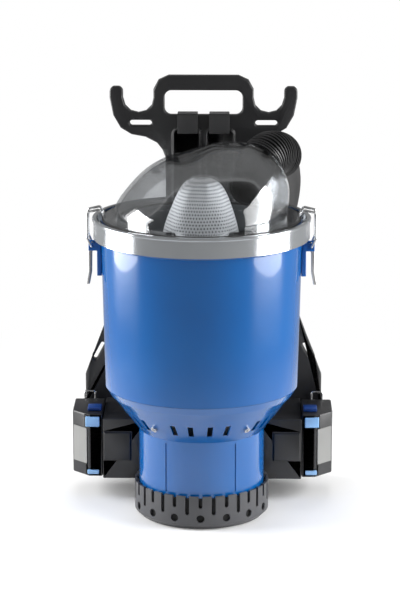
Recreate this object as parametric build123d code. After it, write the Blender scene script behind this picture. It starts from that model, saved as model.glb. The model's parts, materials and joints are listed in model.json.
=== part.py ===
from build123d import *
import math
import os

# Backpack vacuum cleaner. Millimetres, +Z up, +X to the right seen from the front, +Y to the
# wearer's back. The origin is the middle of the flat foot of the exhaust guard.

# ---- driving dimensions
gap = 0.3                 # between separate pieces that sit together
runGap = 0.05             # radial, a pin in its bore
wall = 3.0                # moulded walls

guardR, guardH = 85.0, 43.0          # exhaust guard at the foot
guardCorner = 6.0
guardSlots = 16
slotWide = 4.9
shortSlot, longSlot = 15.0, 24.0
guardHole, guardHoleZ = 5.0, 14.5

neckR, neckTop = 79.0, 111.0         # motor housing
bowlR, bowlTop = 105.0, 145.0
bucketBottomR, bucketTopR = 121.0, 125.0
bucketZ, collarZ, rimZ = 167.0, 352.0, 378.0
bucketWall = 3.5
ventAngles = (7.3, 20.5, 47.0, 57.0, 67.0)
ventWide, ventLow, ventHigh = 6.5, 122.0, 137.0
fluteAngle = 33.0
screwAngle, screwHead = 38.0, 4.0

bandR, bandWall, bandTop = 134.5, 3.3, 381.5
sealThick = 2.4
flangeR, flangeThick = 122.0, 3.0
domeWall = 3.0
# height above the flange's seat, shift to the right, shift to the rear, radius
domeRings = ((0, 0, 0, 107), (22, 3.5, 3, 105.5), (42, 11, 9, 96.5), (60, 18, 14, 82.5),
             (74, 30, 24, 59), (82, 36, 29, 36), (86, 38, 31, 14))

pipeR, pipeBore = 23.5, 20.5         # inlet pipe inside the dome
ribTubeR, ribR, ribWide, ribPitch = 27.0, 30.0, 2.2, 4.0
pipePoints = ((58, -2, 418), (61, 36, 424), (72, 74, 442))
elbowPoints = ((64, 46, 432), (84, 76, 447), (95, 98, 442), (97, 112, 437.5))
elbowBend = 45.0
cuffR, cuffLong = 25.5, 12.0
hoseR, hoseBore = 19.0, 15.5
hoseFirstRun = 150.0
hosePoints = ((85, 350, 240), (80, 392, 98), (-38, 432, 20), (-104, 470, 20))
endCuffR, endCuffBore, endCuffLong = 19.8, 16.0, 50.0

coneRings = ((0, 431), (10, 430), (20, 426.5), (28, 418), (36.5, 401), (44, 381), (50, 361), (78, 171.3))
meshThick = 2.0
bagTopR, bagFootR, bagFootZ = 103.0, 99.0, 176.0
ringR, ringLow = 111.6, 368.0

pivotX, pivotZ, wireR = 136.5, 344.0, 1.5      # toggle latches
bailHalf, lugIn, lugOut = 11.0, 7.0, 9.5
leverLong = 48.0
barX, barZ = 121.75, 383.5

frameY, frameThick = 142.0, 14.0     # carrying frame
gripHigh, gripHalf = 536.5, 64.5
openHalf, openLow, openHigh = 50.3, 485.5, 517.5
hookX, hookR, hookZ, hookTip, hookOut = 84.0, 19.5, 507.5, 522.0, 121.0
slotX, slotZ, slotLong, slotHigh = 81.0, 475.0, 28.7, 7.6
windowX, windowWide, windowLow, windowHigh = 21.5, 23.0, 340.0, 461.5
wingHalf, wingLow, footHalf, footIn = 156.0, 100.0, 120.0, 60.0
loopX, loopY, loopZ, loopHalf, loopHigh, loopWire = 150.0, 138.5, 100.0, 7.0, 17.0, 1.2
loopLug = 4.0

houseHalf, houseY, houseLow, houseHigh = 128.0, 38.0, 28.0, 108.0    # battery housing
packOut, packY, packBack, packLow, packHigh = 168.0, 40.0, 118.0, 30.0, 113.0
packSlant = 22.0
labelLow, labelHigh, labelThick = 47.0, 94.0, 1.0
upperButton = (132.0, 150.0, 97.0, 110.0)
lowerButton = (133.0, 148.0, 33.5, 39.0)
buttonOut, buttonDeep, buttonTravel = 2.5, 6.0, 3.0
switchX, switchY, switchWide, switchLong = -100.0, 106.0, 12.0, 18.0

strapX, strapWide, strapThick, webThick = 20.5, 30.0, 8.0, 2.2
padHalf, padLow, padHigh, padThick = 85.0, 262.0, 372.0, 18.0
hipIn, hipOut, hipLow, hipHigh, hipThick = 60.0, 148.0, 104.0, 154.0, 20.0

canR, canTop, caseR, caseTop, shaftR, wheelR = 50.0, 150.0, 74.0, 75.0, 5.0, 60.0
bracketHalf, bracketHigh, bracketZs, bracketScrewX = 70.0, 20.0, (205.0, 245.0), 62.0

sealZ = rimZ + gap
seatZ = sealZ + sealThick + gap      # underside of the dome's flange
frameBack = frameY + frameThick


# ---- shape helpers
def disc(r, low, high, x=0.0, y=0.0):
    return Pos(x, y, (low + high) / 2) * Cylinder(r, high - low)


def hoop(outer, inner, low, high):
    return disc(outer, low, high) - disc(inner, low - 1, high + 1)


def block(x0, x1, y0, y1, z0, z1):
    return Pos((x0 + x1) / 2, (y0 + y1) / 2, (z0 + z1) / 2) * Box(x1 - x0, y1 - y0, z1 - z0)


def turned(*outline):
    return revolve(Plane.XZ * make_face(Polyline(*outline, close=True)), Axis.Z)


def plate(sketch, front, back):
    return extrude(Plane((0, back, 0), x_dir=(1, 0, 0), z_dir=(0, -1, 0)) * sketch, amount=back - front)


def rod(start, end, r):
    way = Vector(end) - Vector(start)
    stick = Cylinder(r, way.length, align=(Align.CENTER, Align.CENTER, Align.MIN))
    return Plane(origin=start, z_dir=way) * stick


def tube(path, r):
    return sweep(Plane(origin=path @ 0, z_dir=path % 0) * Circle(r), path=path)


def around(tool, angles):
    shape = Part()
    for angle in angles:
        shape += Rot(0, 0, angle) * tool
    return shape


def write(shape, node):
    export_step(shape, "parts/" + node + ".step")


def pair(shape, node):
    write(shape, node + "_right")
    write(mirror(shape, about=Plane.YZ), node + "_left")


def bothSides(shape):
    return shape + mirror(shape, about=Plane.YZ)


os.makedirs("parts", exist_ok=True)


# ---- exhaust guard and its foam
def exhaustGuard():
    low = guardCorner + wall / 2
    cup = turned((0, 0), (guardR - guardCorner, 0), (guardR, guardCorner), (guardR, guardH),
                 (guardR - wall, guardH), (guardR - wall, low), (guardR - guardCorner - 1, wall),
                 (0, wall))
    step = 360 / guardSlots
    front = [-90 + step * k for k in range(guardSlots)]

    def slot(depth):
        end = guardH - depth + slotWide / 2
        cut = block(guardR - 12, guardR + 5, -slotWide / 2, slotWide / 2, end, guardH + 2)
        return cut + rod((guardR - 12, 0, end), (guardR + 5, 0, end), slotWide / 2)

    cup -= around(slot(shortSlot), front)
    cup -= around(rod((guardR - 12, 0, guardHoleZ), (guardR + 5, 0, guardHoleZ), guardHole), front)
    return cup - around(slot(longSlot), [angle + step / 2 for angle in front])


housingFoot = 39.3
write(exhaustGuard(), "exhaust_guard")
foamLow = guardCorner + wall / 2 + gap
write(hoop(guardR - wall - gap, 62, foamLow, housingFoot - gap), "exhaust_foam")


# ---- motor housing with its vents
def motorHousing():
    top = bucketZ - gap
    shell = turned((neckR, housingFoot), (neckR, neckTop), (bowlR, bowlTop), (115, 157),
                   (bucketBottomR, top), (bucketBottomR - wall, top), (112, 158),
                   (bowlR - wall, bowlTop + 1), (neckR - wall, neckTop + 1),
                   (neckR - wall, housingFoot + wall), (35, housingFoot + wall), (35, housingFoot))
    vent = block(68, 125, -ventWide / 2, ventWide / 2, ventLow, ventHigh)
    flute = block(neckR - 1.2, neckR + 2, -1, 1, guardH + 2, neckTop - 4)
    angles = [side * a + face for a in ventAngles for side in (-1, 1) for face in (-90, 90)]
    flutes = [side * fluteAngle + face for side in (-1, 1) for face in (-90, 90)]
    return shell - around(vent, angles) - around(flute, flutes)


def housingScrews():
    midR, midZ = (neckR + bowlR) / 2, (neckTop + bowlTop) / 2
    slope = math.atan2(bowlR - neckR, bowlTop - neckTop)
    out = Vector(math.cos(slope), 0, -math.sin(slope))
    seat = Vector(midR, 0, midZ) + out * gap
    head = rod(seat, seat + out * 2.6, screwHead)
    head -= rod(seat + out * 1.4, seat + out * 4, screwHead * 0.45)
    return around(head, [-90 - screwAngle, -90 + screwAngle, 90 - screwAngle, 90 + screwAngle])


write(motorHousing(), "motor_housing")
write(housingScrews(), "housing_screws")

# ---- motor, fan and their mounts
fanLow = housingFoot + wall + gap
case = disc(caseR, fanLow, caseTop) - disc(caseR - wall, fanLow + wall, caseTop - wall)
write(case - disc(12, fanLow - 1, caseTop + 1), "fan_case")
write(hoop(neckR - wall - gap, caseR + gap, 50, 62), "motor_cushion")
canLow = caseTop + gap
can = disc(canR, canLow, canTop) - disc(shaftR + runGap, canLow - 1, canTop - 8)
write(can, "motor_can")
wheel = disc(wheelR, 50, 52) + disc(shaftR, 50, canTop - 12)
wheel += around(block(14, wheelR, -0.8, 0.8, 51.9, 66), [45 * k for k in range(8)])
write(wheel, "fan_wheel")


# ---- bucket, band and seal
def bucketOutline(grow=0.0):
    return ((bucketBottomR + grow, bucketZ), (bucketTopR + grow, collarZ))


def bucket():
    inner = bucketTopR - bucketWall
    return turned((60, bucketZ), *bucketOutline(), (130.6, collarZ + 3), (130.6, 358),
                  (bucketTopR, 358), (bucketTopR, rimZ), (ringR + gap, rimZ),
                  (ringR + gap, rimZ - 4), (inner, rimZ - 4),
                  (bucketBottomR - bucketWall, bucketZ + 4), (60, bucketZ + 4))


def rimBand():
    inner = bandR - bandWall
    return turned((bandR, collarZ + 4), (bandR, 377), (bandR + 1.5, 378.5), (bandR + 1.5, bandTop - 1),
                  (bandR + 0.5, bandTop), (inner - 0.5, bandTop), (inner - 1.2, bandTop - 1),
                  (inner - 1.2, 378.5), (inner, 377), (inner, 361.3), (bucketTopR + gap, 361.3),
                  (bucketTopR + gap, 358 + gap), (inner, 358 + gap), (inner, collarZ + 4))


write(bucket(), "bucket")
write(rimBand(), "rim_band")
write(hoop(bucketTopR - 1, 113, sealZ, sealZ + sealThick), "lid_seal")


# ---- dome lid
def domeLoft(grow, lift=0.0):
    rings = []
    for high, right, rear, r in domeRings:
        if high == 0:
            rings.append(Plane(origin=(right, rear, seatZ - max(0, -grow) / 3)) * Circle(r + grow))
        else:
            rings.append(Plane(origin=(right, rear, seatZ + high + lift)) * Circle(r + grow))
    return loft(rings)


pipePath = FilletPolyline(*pipePoints, radius=30)
domeInside = domeLoft(-domeWall, -domeWall)
flange = turned((domeRings[0][3] - domeWall, seatZ), (flangeR, seatZ),
                (flangeR - flangeThick, seatZ + flangeThick), (domeRings[0][3] - domeWall, seatZ + flangeThick))
dome = domeLoft(0) - domeInside + flange - tube(pipePath, pipeBore)
write(dome, "dome_lid")
inletPipe = (tube(pipePath, pipeR) - tube(pipePath, pipeBore)) & domeLoft(-domeWall - gap, -domeWall - gap)
write(inletPipe, "inlet_pipe")

elbowPath = FilletPolyline(*elbowPoints, radius=elbowBend)
elbow = tube(elbowPath, ribTubeR)
ribs = int(elbowPath.length / ribPitch)
for k in range(1, ribs):
    t = k * ribPitch / elbowPath.length
    ring = Cylinder(ribR, ribWide)
    elbow += Plane(origin=elbowPath @ t, z_dir=elbowPath % t) * ring
elbow = elbow - tube(elbowPath, pipeBore) - domeLoft(gap, gap)
write(max(elbow.solids(), key=lambda s: s.volume), "hose_elbow")

cuffWay = elbowPath % 1
cuffStart = elbowPath @ 1 + cuffWay * gap
cuffEnd = cuffStart + cuffWay * cuffLong
cuff = rod(cuffStart, cuffEnd, cuffR - 1.5)
for at in (0.0, 4.4, 8.8):
    cuff += rod(cuffStart + cuffWay * at, cuffStart + cuffWay * (at + 3.2), cuffR)
write(cuff - rod(cuffStart - cuffWay, cuffEnd + cuffWay, hoseBore), "swivel_cuff")

# ---- hose: straight runs joined by tangent arcs, then its end cuff on the floor
hoseStart = cuffEnd + cuffWay * gap
route = [hoseStart, hoseStart + cuffWay * hoseFirstRun] + [Vector(*p) for p in hosePoints]
runs = [route[k + 1] - route[k] for k in range(len(route) - 1)]
radii = []
for k in range(len(runs) - 1):
    turn = math.radians(runs[k].get_angle(runs[k + 1]))
    radii.append(0.45 * min(runs[k].length, runs[k + 1].length) / math.tan(turn / 2))
print("hose arcs", [round(r) for r in radii], "hose diameter", 2 * hoseR)
hosePath = FilletPolyline(*route, radius=radii)
hose = tube(hosePath, hoseR) - tube(hosePath, hoseBore)
print("hose length", round(hosePath.length), "volume", round(hose.volume),
      "section x length", round(math.pi * (hoseR ** 2 - hoseBore ** 2) * hosePath.length))
write(hose, "hose")
print("hose points", [tuple(round(v, 1) for v in p) for p in route])
endWay = hosePath % 1
endStart = hosePath @ 1 + endWay * gap
endCuff = rod(endStart, endStart + endWay * endCuffLong, endCuffR)
endCuff -= rod(endStart - endWay, endStart + endWay * (endCuffLong + 1), endCuffBore)
write(endCuff, "hose_end_cuff")

# ---- filters
coneInside = [(max(0, r - meshThick), z - (meshThick if r < 30 else 0)) for r, z in coneRings]
write(turned(*coneRings, *reversed(coneInside)), "cone_filter")
write(turned((bagTopR, rimZ), (bagTopR - meshThick, rimZ), (bagFootR - meshThick, bagFootZ),
             (bagFootR, bagFootZ)), "filter_bag")
write(hoop(ringR, bagTopR + gap, ringLow, rimZ + sealThick), "filter_ring")


# ---- toggle latches
def bail():
    half = ((pivotX, 0, pivotZ), (pivotX, bailHalf, pivotZ), (pivotX + 5, bailHalf, pivotZ + 12),
            (pivotX + 5, bailHalf, 388), (127, bailHalf, 391.5), (barX, bailHalf, barZ), (barX, 0, barZ))
    wire = tube(FilletPolyline(*half, radius=2.6), wireR)
    return wire + mirror(wire, about=Plane.XZ)


def lever():
    foot = pivotZ - leverLong
    side = Plane.XZ * make_face(Polyline(
        (pivotX - 4.3, pivotZ), (pivotX, pivotZ + 4.3), (pivotX + 4, pivotZ + 1), (pivotX + 4, foot + 16),
        (pivotX + 7, foot), (pivotX + 3, foot), (pivotX + 0.5, foot + 14), (pivotX, pivotZ - 8), close=True))
    arm = extrude(side, amount=lugIn - gap, both=True)
    return arm - rod((pivotX, -20, pivotZ), (pivotX, 20, pivotZ), wireR + runGap)


def latchBase():
    low, high = 307.0, 350.0
    base = block(110, 130, -lugOut, lugOut, low, high)
    grown = turned((0, bucketZ), *bucketOutline(gap), (0, collarZ))
    lug = block(128, pivotX + 4, lugIn, lugOut, pivotZ - 5, pivotZ + 5)
    base = base - grown + lug + mirror(lug, about=Plane.XZ)
    return base - rod((pivotX, -20, pivotZ), (pivotX, 20, pivotZ), wireR + runGap)


pair(bail(), "latch_bail")
pair(lever(), "latch_lever")
pair(latchBase(), "latch_base")


# ---- carrying frame
def mirrored(points):
    return list(points) + [(-x, z) for x, z in reversed(points) if x != 0]


def carryingFrame():
    side = hookOut - hookR + 2.5
    outline = mirrored((
        (0, gripHigh), (45, gripHigh), (58, gripHigh - 6), (gripHalf, gripHigh - 18), (hookX - hookR, hookZ),
        (hookX - 17, hookZ - 10), (hookX - 10, hookZ - 17), (hookX, hookZ - hookR), (hookX + 10, hookZ - 17),
        (hookX + 17, hookZ - 10), (side, hookZ), (side, hookTip - 4), (side + 4, hookTip),
        (hookOut - 4, hookTip), (hookOut, hookTip - 4), (hookOut, hookZ), (116.5, 485), (107, 468.5),
        (93, 460), (75, 456.8), (60, 449), (53, 440), (49, 429.5), (49, 310), (122, 229.5),
        (wingHalf, 139), (wingHalf, wingLow), (138, 84), (footHalf, 78), (footHalf, 0), (footIn, 0),
        (footIn, 50), (0, 50)))
    face = make_face(Polyline(*outline, close=True))
    grip = Pos(0, (openLow + openHigh) / 2) * RectangleRounded(2 * openHalf, openHigh - openLow, 9)
    middle, tall = (windowLow + windowHigh) / 2, windowHigh - windowLow
    window = Pos(windowX, middle) * RectangleRounded(windowWide, tall, 5)
    strapSlot = Pos(slotX, slotZ) * SlotOverall(slotLong, slotHigh)
    wingSlot = Pos(142 - 4, 171) * Rot(0, 0, -62) * SlotOverall(26, 5)
    face -= grip
    for hole in (window, strapSlot, wingSlot):
        face = face - hole - mirror(hole, about=Plane.YZ)
    body = plate(face, frameY, frameBack)
    rib = RectangleRounded(windowWide + 14, tall + 14, 8) - RectangleRounded(windowWide + 6, tall + 6, 6)
    body += bothSides(plate(Pos(windowX, middle) * rib, frameY - 3, frameY + 1))
    rodHole = rod((loopX - 20, loopY, loopZ), (loopX + 20, loopY, loopZ), loopWire + runGap)
    lug = block(loopX - loopLug, loopX + loopLug, loopY - 3.5, frameY + 1, loopZ - 3.5, loopZ + 3.5)
    return body + bothSides(lug - rodHole)


write(carryingFrame(), "carrying_frame")


def wireLoop():
    half = ((loopX, loopY, loopZ), (loopX + loopHalf, loopY, loopZ),
            (loopX + loopHalf, loopY, loopZ + loopHigh), (loopX, loopY, loopZ + loopHigh))
    wire = tube(FilletPolyline(*half, radius=2.5), loopWire)
    return wire + mirror(wire, about=Plane.YZ.offset(loopX))


pair(wireLoop(), "belt_loop")

solidBucket = turned((0, bucketZ), *bucketOutline(gap), (0, collarZ))
brackets, screws = Part(), Part()
for z in bracketZs:
    low, high = z - bracketHigh / 2, z + bracketHigh / 2
    brackets += block(-bracketHalf, bracketHalf, 80, frameY - gap, low, high) - solidBucket
    for x in (-bracketScrewX, bracketScrewX):
        screws += rod((x, frameBack + gap, z), (x, frameBack + 3, z), 5)
write(brackets, "body_brackets")
write(screws, "frame_screws")


# ---- battery housing with its switch
def batteryHousing():
    back = frameY - gap
    shell = block(-houseHalf, houseHalf, houseY, back, houseLow, houseHigh)
    hollow = block(-houseHalf + 4, houseHalf - 4, houseY + 4, back - 4, houseLow + 4, houseHigh - 4)
    hollow -= disc(guardR + gap + 4, 0, 200)
    hollow -= block(switchX - 9, switchX + 9, switchY - 14, switchY + 14, 95, houseHigh)
    panel = block(92, 126, houseY - 3, houseY + 1, 53, 90)
    shell = shell - hollow + bothSides(panel)
    shell -= disc(guardR + gap, 0, guardH + 1) + disc(neckR + gap, guardH, houseHigh + 5)
    half, run = switchWide / 2 + gap, switchLong / 2 + 2
    return shell - block(switchX - half, switchX + half, switchY - run, switchY + run, 98.5, houseHigh + 2)


write(batteryHousing(), "battery_housing")
rocker = block(switchX - switchWide / 2, switchX + switchWide / 2,
               switchY - switchLong / 2, switchY + switchLong / 2, 101, houseHigh + 1.5)
write(rocker, "power_switch")
write(block(-50, 50, frameY - gap - 4 - gap - 1.6, frameY - gap - 4 - gap, 40, 90), "control_board")

# ---- batteries, right and mirrored
packIn = houseHalf + gap
plan = make_face(Polyline((packIn, packY), (packOut - packSlant, packY), (packOut, packY + packSlant),
                          (packOut, packBack), (packIn, packBack), close=True))
pack = extrude(Pos(0, 0, packLow) * plan, amount=packHigh - packLow)
for x0, x1, z0, z1 in (upperButton, lowerButton):
    pack -= block(x0 - gap, x1 + gap, packY - 1, packY + buttonDeep + buttonTravel + 0.5, z0 - gap, z1 + gap)
pair(pack, "battery_pack")
for name, (x0, x1, z0, z1) in (("upper_button", upperButton), ("lower_button", lowerButton)):
    pair(block(x0, x1, packY - buttonOut, packY + buttonDeep, z0, z1), name)
slantLong = packSlant * math.sqrt(2)
corner = Plane(origin=(packOut - packSlant / 2, packY + packSlant / 2, (labelLow + labelHigh) / 2),
               x_dir=(1, 1, 0), z_dir=(1, -1, 0))
label = Box(slantLong - 6, labelHigh - labelLow, labelThick, align=(Align.CENTER, Align.CENTER, Align.MIN))
pair(corner * (Pos(0, 0, 0.2) * label), "battery_label")
pair(block(packIn + 2, packOut - packSlant + 2, 56, 74, packHigh + 0.2, packHigh + 5), "top_strip")

# ---- harness
web = block(strapX - 13, strapX + 13, frameY - 3 - webThick - gap, frameY - 3 - gap, 462, openLow + gap + webThick)
web += block(strapX - 13, strapX + 13, frameY - 3 - webThick - gap, frameBack + gap + webThick,
             openLow + gap, openLow + gap + webThick)
web += block(strapX - 13, strapX + 13, frameBack + gap, frameBack + gap + webThick, 440,
             openLow + gap + webThick)
tab = block(strapX - 13, strapX + 13, frameBack + gap, frameBack + gap + webThick, 178, 215)
write(bothSides(web) + bothSides(tab), "strap_webbing")
strapY = frameBack + 2 * gap + webThick + strapThick / 2
strapPath = FilletPolyline((strapX, strapY, 466), (strapX, strapY, 438), (strapX, 205, 385),
                           (strapX, 216, 320), (strapX, 202, 250), (strapX, strapY, 208),
                           (strapX, strapY, 180), radius=18)
section = Plane(origin=strapPath @ 0, x_dir=(1, 0, 0), z_dir=strapPath % 0)
pair(sweep(section * Rectangle(strapWide, strapThick), path=strapPath), "shoulder_strap")
write(block(-padHalf, padHalf, frameBack + gap, frameBack + padThick, padLow, padHigh), "back_pad")
pair(block(hipIn, hipOut, frameBack + gap, frameBack + hipThick, hipLow, hipHigh), "hip_pad")
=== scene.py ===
import bpy, bmesh, json, math
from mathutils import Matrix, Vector


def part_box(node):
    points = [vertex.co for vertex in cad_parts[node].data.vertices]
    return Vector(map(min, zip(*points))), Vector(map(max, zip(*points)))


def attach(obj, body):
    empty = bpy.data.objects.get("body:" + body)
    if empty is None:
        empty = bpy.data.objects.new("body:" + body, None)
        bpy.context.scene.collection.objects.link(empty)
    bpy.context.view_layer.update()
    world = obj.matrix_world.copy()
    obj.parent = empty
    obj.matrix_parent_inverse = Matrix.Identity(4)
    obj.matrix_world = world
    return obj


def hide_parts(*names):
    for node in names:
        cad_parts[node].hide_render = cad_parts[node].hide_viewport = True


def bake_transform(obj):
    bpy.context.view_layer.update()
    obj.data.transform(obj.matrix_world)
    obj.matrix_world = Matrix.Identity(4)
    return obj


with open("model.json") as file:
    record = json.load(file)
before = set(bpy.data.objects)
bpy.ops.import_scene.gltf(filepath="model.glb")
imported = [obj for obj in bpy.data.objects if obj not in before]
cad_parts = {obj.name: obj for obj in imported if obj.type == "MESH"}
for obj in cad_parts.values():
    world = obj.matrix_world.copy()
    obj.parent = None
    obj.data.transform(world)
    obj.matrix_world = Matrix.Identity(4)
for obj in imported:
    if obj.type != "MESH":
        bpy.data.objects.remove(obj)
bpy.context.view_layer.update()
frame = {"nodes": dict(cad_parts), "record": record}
nodes = frame["nodes"]
print("frame loaded:", len(nodes), "nodes")


# ---- shader maths: a socket that adds, subtracts, multiplies and divides
class Wire:
    def __init__(self, tree, out):
        self.tree, self.out = tree, out

    def calc(self, operation, other=None, flip=False):
        made = self.tree.nodes.new("ShaderNodeMath")
        made.operation = operation
        pair = [self] if other is None else ([other, self] if flip else [self, other])
        for k, value in enumerate(pair):
            if isinstance(value, Wire):
                self.tree.links.new(value.out, made.inputs[k])
            else:
                made.inputs[k].default_value = value
        return Wire(self.tree, made.outputs[0])

    def __add__(self, other): return self.calc("ADD", other)
    def __radd__(self, other): return self.calc("ADD", other, True)
    def __sub__(self, other): return self.calc("SUBTRACT", other)
    def __rsub__(self, other): return self.calc("SUBTRACT", other, True)
    def __mul__(self, other): return self.calc("MULTIPLY", other)
    def __rmul__(self, other): return self.calc("MULTIPLY", other, True)
    def __truediv__(self, other): return self.calc("DIVIDE", other)
    def __rtruediv__(self, other): return self.calc("DIVIDE", other, True)


class Finish:
    def __init__(self, name, **fixed):
        self.material = bpy.data.materials.new(name)
        self.material.use_nodes = True
        self.tree = self.material.node_tree
        self.shader = self.tree.nodes["Principled BSDF"]
        for socket, value in fixed.items():
            self.feed(self.shader, socket, value)
        self.place = self.node("ShaderNodeTexCoord", out="Object")
        axes = self.node("ShaderNodeSeparateXYZ", Vector=self.place, out=None)
        self.x, self.y, self.z = [Wire(self.tree, axes.outputs[k]) for k in range(3)]

    def feed(self, made, socket, value):
        target = made.inputs[socket if isinstance(socket, int) else socket.replace("_", " ")]
        if isinstance(value, Wire):
            self.tree.links.new(value.out, target)
        elif isinstance(value, tuple) and len(value) == 3 and target.type == "RGBA":
            target.default_value = (*value, 1)
        else:
            target.default_value = value

    def node(self, kind, settings=None, stops=None, out=0, **sockets):
        made = self.tree.nodes.new(kind)
        for key, value in (settings or {}).items():
            setattr(made, key, value)
        for k, (at, colour) in enumerate(stops or []):
            spot = made.color_ramp.elements[k] if k < 2 else made.color_ramp.elements.new(at)
            spot.position, spot.color = at, (*colour, 1)
        for socket, value in sockets.items():
            self.feed(made, socket, value)
        return made if out is None else Wire(self.tree, made.outputs[out])

    def noise(self, scale, detail=3.0):
        return self.node("ShaderNodeTexNoise", Vector=self.place, Scale=scale, Detail=detail, out="Fac")

    def ramp(self, value, *stops):
        return self.node("ShaderNodeValToRGB", stops=stops, Fac=value, out="Color")

    def bump(self, height, depth, strength=0.5):
        lifted = self.node("ShaderNodeBump", Height=height, Distance=depth, Strength=strength, out="Normal")
        self.feed(self.shader, "Normal", lifted)

    def shade(self, **links):
        for socket, value in links.items():
            self.feed(self.shader, socket, value)
        return self.material


def speckled(name, dark, light, rough, grainScale=900, grainDepth=0.0002, **fixed):
    made = Finish(name, **fixed)
    cloud, grain = made.noise(9), made.noise(grainScale, 2)
    made.bump(grain, grainDepth, 0.35)
    return made.shade(Base_Color=made.ramp(cloud, (0.3, dark), (0.7, light)),
                      Roughness=rough + (made.noise(26) - 0.5) * 0.12)


def clothFinish(name, dark, light, thread, stitchRows=()):
    made = Finish(name, Roughness=0.9)
    made.feed(made.shader, "Sheen Weight", 0.15)
    across = (made.x * (6.28 / thread)).calc("SINE") * (made.z * (6.28 / thread)).calc("SINE")
    weave = across * 0.5 + 0.5
    value = weave * 0.6 + made.noise(40) * 0.4
    for row in stitchRows:       # a dashed seam round the cloth
        near = 1 - ((made.z - row) * (1 / 0.0009)).calc("ABSOLUTE").calc("MINIMUM", 1.0)
        turn = made.y.calc("ARCTAN2", made.x) * 60
        value = value + near * turn.calc("SINE").calc("GREATER_THAN", 0.0) * 1.6
    made.bump(weave, thread * 0.4, 0.6)
    return made.shade(Base_Color=made.ramp(value, (0.15, dark), (0.95, light)))


def perforatedMesh(name, mesh):
    made = Finish(name, Roughness=0.7)
    row = made.z * (1 / mesh["pitch"])
    turn = made.y.calc("ARCTAN2", made.x) * (mesh["round"] / 6.2832) + row.calc("FLOOR") * 0.5
    across = turn.calc("FRACT") - 0.5
    down = row.calc("FRACT") - 0.5
    away = (across * across + down * down).calc("SQRT")
    hole = away.calc("LESS_THAN", mesh["hole"])
    made.bump(1 - hole, 0.0008, 0.7)
    tone = made.noise(22) * 0.35 + 0.65
    return made.shade(Base_Color=made.ramp(tone * (1 - hole * 0.78), (0.1, mesh["dark"]), (1.0, mesh["pale"])))


def clearFinish(name):
    made = Finish(name, Base_Color=(1.0, 1.0, 1.0), Roughness=0.04, Metallic=1.0)
    glance = made.node("ShaderNodeFresnel", IOR=1.45)
    through = made.node("ShaderNodeBsdfTransparent", Color=(0.955, 0.965, 0.975))
    blend = made.tree.nodes.new("ShaderNodeMixShader")
    made.feed(blend, 0, glance * 0.6 + 0.005)
    made.tree.links.new(through.out, blend.inputs[1])
    made.tree.links.new(made.shader.outputs[0], blend.inputs[2])
    made.tree.links.new(blend.outputs[0], made.tree.nodes["Material Output"].inputs[0])
    return made.material


finishes = {
    "blue_shell": speckled("blueShell", (0.0, 0.085, 0.31), (0.0, 0.098, 0.34), 0.2, 260, 0.00006, Coat_Weight=0.6),
    "latch_blue": speckled("latchBlue", (0.0, 0.07, 0.27), (0.0, 0.085, 0.32), 0.3),
    "guard_grey": speckled("guardGrey", (0.045, 0.046, 0.05), (0.07, 0.07, 0.075), 0.42),
    "foam_black": speckled("foamBlack", (0.004, 0.004, 0.004), (0.02, 0.02, 0.02), 0.95, 500, 0.002),
    "band_grey": speckled("bandGrey", (0.42, 0.44, 0.46), (0.52, 0.54, 0.56), 0.14, 200, 0.00003, Metallic=0.8),
    "seal_rubber": speckled("sealRubber", (0.012, 0.012, 0.012), (0.03, 0.03, 0.03), 0.7),
    "dome_clear": clearFinish("domeClear"),
    "pipe_black": speckled("pipeBlack", (0.008, 0.008, 0.008), (0.014, 0.014, 0.014), 0.22, Coat_Weight=0.3),
    "hose_black": speckled("hoseBlack", (0.008, 0.008, 0.009), (0.018, 0.018, 0.018), 0.38),
    "mesh_grey": perforatedMesh("coneMesh", {"pitch": 0.0040, "round": 68, "hole": 0.27,
                                             "dark": (0.05, 0.05, 0.055), "pale": (0.68, 0.69, 0.7)}),
    "bag_cloth": clothFinish("bagCloth", (0.03, 0.033, 0.037), (0.16, 0.17, 0.18), 0.0018, (0.371,)),
    "ring_black": speckled("ringBlack", (0.012, 0.012, 0.012), (0.025, 0.025, 0.025), 0.6),
    "steel_wire": speckled("steelWire", (0.55, 0.55, 0.56), (0.7, 0.7, 0.7), 0.2, Metallic=1.0),
    "lever_steel": speckled("leverSteel", (0.35, 0.35, 0.36), (0.5, 0.5, 0.5), 0.32, Metallic=1.0),
    "frame_black": speckled("frameBlack", (0.008, 0.008, 0.009), (0.016, 0.016, 0.017), 0.36, 1200, 0.0003),
    "battery_black": speckled("batteryBlack", (0.012, 0.012, 0.013), (0.024, 0.024, 0.026), 0.34, 1100, 0.0003),
    "label_grey": speckled("labelGrey", (0.2, 0.2, 0.195), (0.25, 0.25, 0.24), 0.55),
    "button_blue": speckled("buttonBlue", (0.24, 0.46, 0.76), (0.32, 0.54, 0.84), 0.4),
    "strip_navy": speckled("stripNavy", (0.006, 0.04, 0.19), (0.012, 0.06, 0.25), 0.35),
    "switch_red": speckled("switchBlack", (0.02, 0.02, 0.02), (0.04, 0.04, 0.04), 0.45),
    "board_green": speckled("boardGreen", (0.01, 0.12, 0.05), (0.03, 0.17, 0.07), 0.5),
    "motor_metal": speckled("motorMetal", (0.5, 0.5, 0.5), (0.62, 0.62, 0.62), 0.35, Metallic=1.0),
    "fan_plastic": speckled("fanPlastic", (0.06, 0.06, 0.06), (0.1, 0.1, 0.1), 0.5),
    "strap_cloth": clothFinish("strapCloth", (0.008, 0.008, 0.009), (0.035, 0.035, 0.037), 0.0016),
}
for part in frame["record"]["subparts"]:
    mesh = nodes[part["node"]].data
    mesh.materials.clear()
    mesh.materials.append(finishes[part["material_slot"]])
print("finishes made:", len(finishes))


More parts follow.
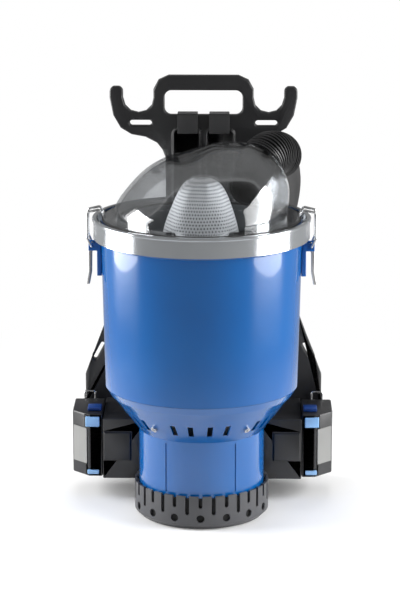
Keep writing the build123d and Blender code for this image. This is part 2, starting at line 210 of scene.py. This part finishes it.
# ---- a mesh made into a piece with its finish, body and CAD nodes
def finishPiece(name, bm, slotName, body, *stood, levels=1):
    bmesh.ops.remove_doubles(bm, verts=bm.verts, dist=1e-6)
    bmesh.ops.recalc_face_normals(bm, faces=bm.faces)
    mesh = bpy.data.meshes.new(name)
    bm.to_mesh(mesh)
    bm.free()
    for face in mesh.polygons:
        face.use_smooth = True
    piece = bpy.data.objects.new(name, mesh)
    bpy.context.scene.collection.objects.link(piece)
    mesh.materials.append(finishes[slotName])
    if levels:
        soft = piece.modifiers.new("soft", "SUBSURF")
        soft.levels = soft.render_levels = levels
    if body:
        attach(piece, body)
    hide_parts(*stood)
    return piece


def cushion(cuts=14, channels=0, pinch=0.5):
    # a crowned pad in a unit box, flat at the bottom of Y, its sides pulled in between the corners
    bm = bmesh.new()
    bmesh.ops.create_cube(bm, size=2)
    bmesh.ops.subdivide_edges(bm, edges=bm.edges[:], cuts=cuts, use_grid_fill=True)
    for v in bm.verts:
        u, w = v.co.x, v.co.z
        edge = max(abs(u), abs(w))
        crown = 1 - pinch * edge ** 4
        if channels:
            crown -= 0.14 * max(0, math.cos(w * math.pi * channels)) ** 12
        v.co.y = -1 + (v.co.y + 1) * crown
        v.co.x = u * (1 - 0.05 * (1 - w * w) * abs(u)) * (1 - 0.06 * abs(w) ** 8)
        v.co.z = w * (1 - 0.04 * (1 - u * u) * abs(w)) * (1 - 0.06 * abs(u) ** 8)
    return bm


def fitInto(bm, low, high):
    for v in bm.verts:
        v.co = Vector([low[k] + (v.co[k] + 1) / 2 * (high[k] - low[k]) for k in range(3)])
    return bm


for node, channels, fill in (("back_pad", 3, 0.8), ("hip_pad_left", 2, 0.7), ("hip_pad_right", 2, 0.7)):
    bm = fitInto(cushion(channels=channels), *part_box(node))
    finishPiece(node.title().replace("_", ""), bm, "strap_cloth", "carrier", node)


def splineLine(name, points):
    # one smooth line through the route, read back as points
    curve = bpy.data.curves.new(name, "CURVE")
    curve.dimensions = "3D"
    line = curve.splines.new("NURBS")
    line.points.add(len(points) - 1)
    for spot, point in zip(line.points, points):
        spot.co = (*point, 1)
    line.order_u = 3
    line.use_endpoint_u = True
    line.resolution_u = 16
    return curve


def readLine(curve):
    holder = bpy.data.objects.new("routeHolder", curve)
    mesh = bpy.data.meshes.new_from_object(holder)
    points = [v.co.copy() for v in mesh.vertices]
    bpy.data.objects.remove(holder)
    return points


strap = {"wide": 0.030, "thick": 0.008, "middle": 0.0205, "frameBack": 0.1628}
# down the right strap, as places to the rear and up: flat on the frame at both ends, bowed out between
strapBow = ((strap["frameBack"], 0.466), (strap["frameBack"], 0.438), (0.205, 0.385), (0.216, 0.320),
            (0.202, 0.250), (strap["frameBack"], 0.208), (strap["frameBack"], 0.180))
strapLine = readLine(splineLine("strapRoute", [(strap["middle"], *spot) for spot in strapBow]))
for side, way in (("left", -1), ("right", 1)):
    bm = cushion(cuts=24, pinch=0.4)
    for v in bm.verts:
        along = (v.co.z + 1) / 2 * (len(strapLine) - 1)
        k = min(int(along), len(strapLine) - 2)
        here = strapLine[k].lerp(strapLine[k + 1], along - k)
        run = (strapLine[k + 1] - strapLine[k]).normalized()
        out = Vector((1, 0, 0)).cross(run)
        v.co = here + out * (-v.co.y * strap["thick"] / 2) + Vector((v.co.x * strap["wide"] / 2, 0, 0))
        v.co.x *= way
    finishPiece("ShoulderStrap" + side.title(), bm, "strap_cloth", "carrier",
                          "shoulder_strap_" + side)


# webbing looped over the lower edge of the hand opening, and the tabs low on the back
def ribbon(bm, low, high):
    made = bmesh.ops.create_cube(bm, size=1)["verts"]
    for v in made:
        v.co = Vector([low[k] + (v.co[k] + 0.5) * (high[k] - low[k]) for k in range(3)])
    edges = list({e for v in made for e in v.link_edges})
    bmesh.ops.bevel(bm, geom=edges, offset=0.0008, segments=2, profile=0.5, affect="EDGES", material=-1)


webbing = {"half": 0.013, "thick": 0.0022, "front": 0.1365, "back": 0.1563, "top": 0.4858,
           "frontEnd": 0.462, "backEnd": 0.440, "tab": (0.178, 0.215)}
bm = bmesh.new()
for middle in (-strap["middle"], strap["middle"]):
    left, right = middle - webbing["half"], middle + webbing["half"]
    front, back, top, thick = (webbing[k] for k in ("front", "back", "top", "thick"))
    ribbon(bm, (left, front, webbing["frontEnd"]), (right, front + thick, top + thick))
    ribbon(bm, (left, front, top), (right, back + thick, top + thick))
    ribbon(bm, (left, back, webbing["backEnd"]), (right, back + thick, top + thick))
    ribbon(bm, (left, back, webbing["tab"][0]), (right, back + thick, webbing["tab"][1]))
finishPiece("StrapWebbing", bm, "strap_cloth", "carrier", "strap_webbing", levels=0)


# ---- filters: spun cloth with slack in it
def spunCloth(outline, steps=96):
    bm = bmesh.new()
    verts = [bm.verts.new((r, 0, z)) for r, z in outline]
    edges = [bm.edges.new(pair) for pair in zip(verts, verts[1:])]
    bmesh.ops.spin(bm, geom=verts + edges, cent=(0, 0, 0), axis=(0, 0, 1), angle=math.tau,
                   steps=steps, use_merge=True)
    return bm


cone = {"outline": ((0.0005, 0.4306), (0.010, 0.4300), (0.020, 0.4262), (0.028, 0.4180), (0.0365, 0.401),
                    (0.044, 0.381), (0.050, 0.361), (0.0635, 0.27), (0.078, 0.172)), "crease": 0.0016}
bm = spunCloth(cone["outline"])
for v in bm.verts:
    turn, r = math.atan2(v.co.y, v.co.x), math.hypot(v.co.x, v.co.y)
    sag = cone["crease"] * (math.sin(turn * 5 + v.co.z * 40) * 0.6 + math.sin(turn * 9 - v.co.z * 65) * 0.4)
    if r > 0.01:
        v.co.x -= (sag + 0.0018) * v.co.x / r
        v.co.y -= (sag + 0.0018) * v.co.y / r
coneCloth = finishPiece("ConeFilterMesh", bm, "mesh_grey", "carrier", "cone_filter")
bag = {"outline": ((0.1024, 0.3778), (0.1022, 0.372), (0.1012, 0.33), (0.1004, 0.27), (0.0994, 0.22),
                   (0.0982, 0.1765)), "slack": 0.0016}
bm = spunCloth(bag["outline"])
for v in bm.verts:
    turn, r = math.atan2(v.co.y, v.co.x), math.hypot(v.co.x, v.co.y)
    slack = bag["slack"] * (1 + math.sin(turn * 11 + v.co.z * 50)) * min(1, (0.378 - v.co.z) / 0.04)
    v.co.x -= slack * v.co.x / r
    v.co.y -= slack * v.co.y / r
bagCloth = finishPiece("FilterBagCloth", bm, "bag_cloth", "carrier", "filter_bag")
for piece, thick in ((coneCloth, 0.0012), (bagCloth, 0.0014)):
    shell = piece.modifiers.new("cloth", "SOLIDIFY")
    shell.thickness = thick
print("soft pieces made")


# ---- moulded pieces get their rounded edges
def rounded(name, node, slotName, body, width, segments=3, outerOnly=False):
    bm = bmesh.new()
    bm.from_mesh(nodes[node].data)
    bmesh.ops.remove_doubles(bm, verts=bm.verts, dist=1e-5)
    bmesh.ops.dissolve_limit(bm, angle_limit=math.radians(1), verts=bm.verts, edges=bm.edges)
    if outerOnly:      # the button pockets keep sharp corners inside
        outer = bm.edges.layers.float.new("bevel_weight_edge")
        for line in bm.edges:
            line[outer] = float(line.is_convex and line.calc_face_angle(0.0) > math.radians(38))
    piece = finishPiece(name, bm, slotName, body, node, levels=0)
    edge = piece.modifiers.new("edge", "BEVEL")
    edge.width, edge.segments, edge.profile = width, segments, 0.5
    edge.limit_method, edge.angle_limit = "WEIGHT" if outerOnly else "ANGLE", math.radians(38)
    edge.use_clamp_overlap, edge.harden_normals = False, True
    return piece


rounded("CarryingFrame", "carrying_frame", "frame_black", "carrier", 0.0022)
rounded("BatteryHousing", "battery_housing", "battery_black", "carrier", 0.0014, 2)
for side in ("left", "right"):
    rounded("BatteryPack" + side.title(), "battery_pack_" + side, "battery_black", "battery_" + side, 0.002,
            outerOnly=True)
    rounded("LatchBase" + side.title(), "latch_base_" + side, "latch_blue", "carrier", 0.0008, 2)
    rounded("LatchLever" + side.title(), "latch_lever_" + side, "lever_steel", "lever_" + side, 0.0006, 2)
    rounded("TopStrip" + side.title(), "top_strip_" + side, "strip_navy", "battery_" + side, 0.001, 2)
    for level in ("upper", "lower"):
        rounded(level.title() + "Button" + side.title(), f"{level}_button_{side}", "button_blue",
                f"{level}_button_body_{side}", 0.0012)
print("moulded pieces rounded")

# ---- hose: down from the cuff and along the floor behind
hose = {"diameter": 0.038, "length": 0.66, "route": (
    (0.0987, 0.1239, 0.4337), (0.1189, 0.2654, 0.3882), (0.085, 0.350, 0.240), (0.080, 0.392, 0.098),
    (-0.038, 0.432, 0.0205), (-0.104, 0.470, 0.0205))}
curve = splineLine("hoseRoute", hose["route"])
hosePath = readLine(curve)
run = sum((b - a).length for a, b in zip(hosePath, hosePath[1:]))
print("hose runs", round(run, 4))
curve.bevel_depth = hose["diameter"] / 2
curve.bevel_resolution = 8
holder = bpy.data.objects.new("hoseHolder", curve)
hoseMesh = bpy.data.meshes.new_from_object(holder)
bpy.data.objects.remove(holder)
bm = bmesh.new()
bm.from_mesh(hoseMesh)
hosePiece = finishPiece("Hose", bm, "hose_black", None, "hose", levels=0)
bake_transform(hosePiece)
print("hose made")

# ---- floor, light and camera
bm = bmesh.new()
bmesh.ops.create_grid(bm, x_segments=1, y_segments=1, size=6)
floorMesh = bpy.data.meshes.new("floor")
bm.to_mesh(floorMesh)
bm.free()
floor = bpy.data.objects.new("floor", floorMesh)
bpy.context.scene.collection.objects.link(floor)
floor.location.z = -0.0006
# a matt floor near the object that fades into plain white further out
floorFinish = Finish("floorPale", Roughness=0.9)
floorFinish.shader.inputs["Specular IOR Level"].default_value = 0.0
floorFinish.shader.inputs["Emission Strength"].default_value = 1.0
far = (floorFinish.x * floorFinish.x + floorFinish.y * floorFinish.y).calc("SQRT")
fade = floorFinish.node("ShaderNodeMapRange", {"interpolation_type": "SMOOTHSTEP"}, Value=far)
fadeNode = fade.out.node
fadeNode.inputs["From Min"].default_value, fadeNode.inputs["From Max"].default_value = 0.25, 0.95
rays = floorFinish.node("ShaderNodeLightPath", out=None)
direct = Wire(floorFinish.tree, rays.outputs["Is Camera Ray"])
glow = fade * (direct * 0.65 + 0.35)
floorMaterial = floorFinish.shade(
    Base_Color=floorFinish.ramp(fade, (0.0, (0.9, 0.9, 0.9)), (1.0, (0.0, 0.0, 0.0))),
    Emission_Color=floorFinish.ramp(glow, (0.0, (0.0, 0.0, 0.0)), (1.0, (1.0, 1.0, 1.0))))
floorMesh.materials.append(floorMaterial)

world = bpy.data.worlds.new("studio")
bpy.context.scene.world = world
world.use_nodes = True
ray = world.node_tree.nodes.new("ShaderNodeLightPath")
fromCamera, throughGlass = (Wire(world.node_tree, ray.outputs[name])
                            for name in ("Is Camera Ray", "Is Transmission Ray"))
seen = fromCamera.calc("MAXIMUM", throughGlass)
sky = {"light": 0.26, "seen": 1.0}
background = world.node_tree.nodes["Background"]
background.inputs["Color"].default_value = (1, 1, 1, 1)
world.node_tree.links.new((seen * (sky["seen"] - sky["light"]) + sky["light"]).out, background.inputs["Strength"])

lamps = {"leftBox": ((-1.3, 0.1, 0.45), 1.0, 1.5, 44), "rightBox": ((1.25, -0.2, 0.45), 1.0, 1.5, 38),
         "topBox": ((0.0, 0.9, 2.0), 1.2, 0.8, 14), "frontFill": ((-0.9, -2.3, 1.5), 0.7, 0.7, 6)}
aim = Vector((0, 0, 0.27))
for name, (spot, wide, tall, power) in lamps.items():
    light = bpy.data.lights.new(name, "AREA")
    light.shape, light.size, light.size_y, light.energy = "RECTANGLE", wide, tall, power
    lamp = bpy.data.objects.new(name, light)
    lamp.location = spot
    lamp.visible_glossy = name in ("leftBox", "rightBox")      # the others leave no patch on the dome
    lamp.rotation_euler = (aim - Vector(spot)).to_track_quat("-Z", "Y").to_euler()
    bpy.context.scene.collection.objects.link(lamp)

view = {"aim": (-0.002, 0, 0.275), "distance": 3.0, "elevation": 13.4, "azimuth": -1.0, "lens": 144}
up, around = math.radians(view["elevation"]), math.radians(view["azimuth"])
towards = Vector((-math.sin(around) * math.cos(up), -math.cos(around) * math.cos(up), math.sin(up)))
lensData = bpy.data.cameras.new("camera")
lensData.lens = view["lens"]
camera = bpy.data.objects.new("camera", lensData)
camera.location = Vector(view["aim"]) + towards * view["distance"]
camera.rotation_euler = (-towards).to_track_quat("-Z", "Y").to_euler()
bpy.context.scene.collection.objects.link(camera)
bpy.context.scene.camera = camera
bpy.context.scene.view_settings.view_transform = "Standard"
